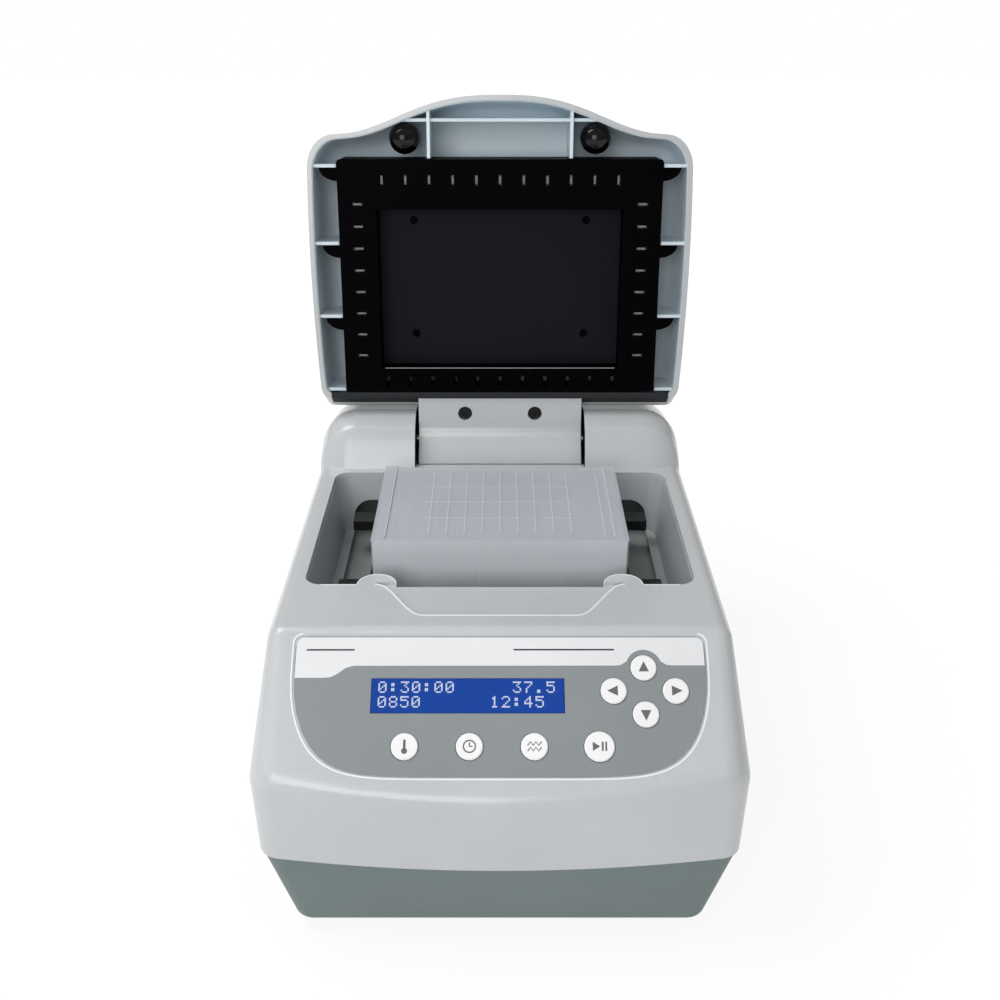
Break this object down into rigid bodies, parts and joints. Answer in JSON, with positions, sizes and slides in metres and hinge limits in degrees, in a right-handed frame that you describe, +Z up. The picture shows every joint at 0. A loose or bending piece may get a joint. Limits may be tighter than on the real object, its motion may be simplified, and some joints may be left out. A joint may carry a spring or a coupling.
{
  "type": "laboratory thermal mixer",
  "caption": "Laboratory thermal mixer with a heated orbital block, a frosted tube rack in an open well, a front panel with keys and display, and a raised hinged hot lid.",
  "frame": {"origin": "bench level, under the middle of the body", "axes": "+X to the right of the user, +Y to the rear, +Z up; the control panel faces -Y"},
  "size_m": [0.222, 0.3041, 0.3292],
  "materials": {
    "casing_grey": "fine satin texture",
    "base_green": "fine satin texture",
    "feet_rubber": "matt",
    "screw_steel": "zinc plated",
    "liner_plastic": "satin",
    "baffle_paint": "satin",
    "film_print": "printed film, satin",
    "display_glass": "clear, over a lit blue display",
    "board_green": "solder mask",
    "chassis_steel": "plated sheet",
    "motor_black": "satin",
    "supply_case": "plain sheet",
    "fitting_black": "satin",
    "hinge_steel": "ground",
    "weight_brass": "machined",
    "platform_paint": "satin",
    "pad_foam": "silicone foam",
    "block_aluminium": "anodised, satin",
    "cradle_black": "satin",
    "rack_frosted": "frosted, translucent",
    "key_white": "smooth",
    "hot_frame_black": "smooth, slightly glossy",
    "hot_plate_dark": "dark anodised, satin",
    "insulation_wool": "felt",
    "ball_black": "polished"
  },
  "bodies": {
    "base": {"lower_casing": "base_green", "upper_casing": "casing_grey", "deck_bosses": "casing_grey", "rubber_feet": "feet_rubber", "casing_screws": "screw_steel", "well_liner": "liner_plastic", "rear_baffle": "baffle_paint", "panel_film": "film_print", "display_window": "display_glass", "display_module": "board_green", "key_board": "board_green", "chassis_plate": "chassis_steel", "drive_motor": "motor_black", "main_board": "board_green", "power_supply": "supply_case", "mains_inlet": "fitting_black", "inlet_blades": "screw_steel", "switch_frame": "fitting_black", "fan_frame": "fitting_black", "hinge_brackets": "hinge_steel", "hinge_pins": "hinge_steel"},
    "crank": {"crank_shaft": "hinge_steel", "counterweight": "weight_brass"},
    "platform": {"shaker_platform": "platform_paint", "main_bearing": "hinge_steel", "insulation_pad": "pad_foam", "heater_block": "block_aluminium", "block_cradle": "cradle_black", "plate_clip": "cradle_black"},
    "idler_1": {"idler_crank_1": "hinge_steel"},
    "idler_2": {"idler_crank_2": "hinge_steel"},
    "idler_3": {"idler_crank_3": "hinge_steel"},
    "idler_4": {"idler_crank_4": "hinge_steel"},
    "rack": {"rack_cover": "rack_frosted", "rack_cells": "rack_frosted"},
    "fan": {"fan_rotor": "fitting_black"},
    "rocker": {"power_switch": "fitting_black"},
    "lid": {"lid_shell": "casing_grey", "hot_lid_frame": "hot_frame_black", "hot_plate": "hot_plate_dark", "plate_screws": "screw_steel", "lid_insulation": "insulation_wool", "bumper_left": "ball_black", "bumper_right": "ball_black", "hinge_knuckle": "casing_grey", "knuckle_screws": "fitting_black"},
    "key_up_body": {"key_up": "key_white"},
    "key_down_body": {"key_down": "key_white"},
    "key_left_body": {"key_left": "key_white"},
    "key_right_body": {"key_right": "key_white"},
    "key_f1_body": {"key_f1": "key_white"},
    "key_f2_body": {"key_f2": "key_white"},
    "key_f3_body": {"key_f3": "key_white"},
    "key_run_body": {"key_run": "key_white"}
  },
  "joints": [
    {"name": "lid_hinge", "type": "hinge", "parent": "base", "child": "lid", "pos_m": [0, 0.1046, 0.1366], "axis": [-1, 0, 0], "range_deg": [-97.3, 0]},
    {"name": "crank_turn", "type": "hinge", "parent": "base", "child": "crank", "pos_m": [-0.0015, 0.01575, 0.06], "axis": [0, 0, 1], "continuous": true},
    {"name": "platform_orbit", "type": "hinge", "parent": "crank", "child": "platform", "pos_m": [0, 0.01575, 0.08], "axis": [0, 0, 1], "continuous": true},
    {"name": "rack_lift", "type": "slide", "parent": "platform", "child": "rack", "axis": [0, 0, 1], "range_m": [0, 0.07]},
    {"name": "fan_spin", "type": "hinge", "parent": "base", "child": "fan", "pos_m": [-0.052, 0.14, 0.07], "axis": [0, 1, 0], "continuous": true},
    {"name": "switch_rock", "type": "hinge", "parent": "base", "child": "rocker", "pos_m": [0.032, 0.145, 0.066], "axis": [-1, 0, 0], "range_deg": [0, 14]},
    {"name": "idler_1_turn", "type": "hinge", "parent": "base", "child": "idler_1", "pos_m": [-0.0665, -0.03225, 0.06], "axis": [0, 0, 1], "continuous": true},
    {"name": "idler_2_turn", "type": "hinge", "parent": "base", "child": "idler_2", "pos_m": [-0.0665, 0.06375, 0.06], "axis": [0, 0, 1], "continuous": true},
    {"name": "idler_3_turn", "type": "hinge", "parent": "base", "child": "idler_3", "pos_m": [0.0635, -0.03225, 0.06], "axis": [0, 0, 1], "continuous": true},
    {"name": "idler_4_turn", "type": "hinge", "parent": "base", "child": "idler_4", "pos_m": [0.0635, 0.06375, 0.06], "axis": [0, 0, 1], "continuous": true},
    {"name": "key_up_press", "type": "slide", "parent": "base", "child": "key_up_body", "axis": [0, 0.6157, -0.788], "range_m": [0, 0.0006], "stiffness_N_per_m": 300, "springref_m": -0.0008},
    {"name": "key_down_press", "type": "slide", "parent": "base", "child": "key_down_body", "axis": [0, 0.6157, -0.788], "range_m": [0, 0.0006], "stiffness_N_per_m": 300, "springref_m": -0.0008},
    {"name": "key_left_press", "type": "slide", "parent": "base", "child": "key_left_body", "axis": [0, 0.6157, -0.788], "range_m": [0, 0.0006], "stiffness_N_per_m": 300, "springref_m": -0.0008},
    {"name": "key_right_press", "type": "slide", "parent": "base", "child": "key_right_body", "axis": [0, 0.6157, -0.788], "range_m": [0, 0.0006], "stiffness_N_per_m": 300, "springref_m": -0.0008},
    {"name": "key_f1_press", "type": "slide", "parent": "base", "child": "key_f1_body", "axis": [0, 0.6157, -0.788], "range_m": [0, 0.0006], "stiffness_N_per_m": 300, "springref_m": -0.0008},
    {"name": "key_f2_press", "type": "slide", "parent": "base", "child": "key_f2_body", "axis": [0, 0.6157, -0.788], "range_m": [0, 0.0006], "stiffness_N_per_m": 300, "springref_m": -0.0008},
    {"name": "key_f3_press", "type": "slide", "parent": "base", "child": "key_f3_body", "axis": [0, 0.6157, -0.788], "range_m": [0, 0.0006], "stiffness_N_per_m": 300, "springref_m": -0.0008},
    {"name": "key_run_press", "type": "slide", "parent": "base", "child": "key_run_body", "axis": [0, 0.6157, -0.788], "range_m": [0, 0.0006], "stiffness_N_per_m": 300, "springref_m": -0.0008}
  ],
  "couplings": [
    {"joint": "platform_orbit", "follows": "crank_turn", "ratio": -1},
    {"joint": "idler_1_turn", "follows": "crank_turn", "ratio": 1},
    {"joint": "idler_2_turn", "follows": "crank_turn", "ratio": 1},
    {"joint": "idler_3_turn", "follows": "crank_turn", "ratio": 1},
    {"joint": "idler_4_turn", "follows": "crank_turn", "ratio": 1}
  ]
}
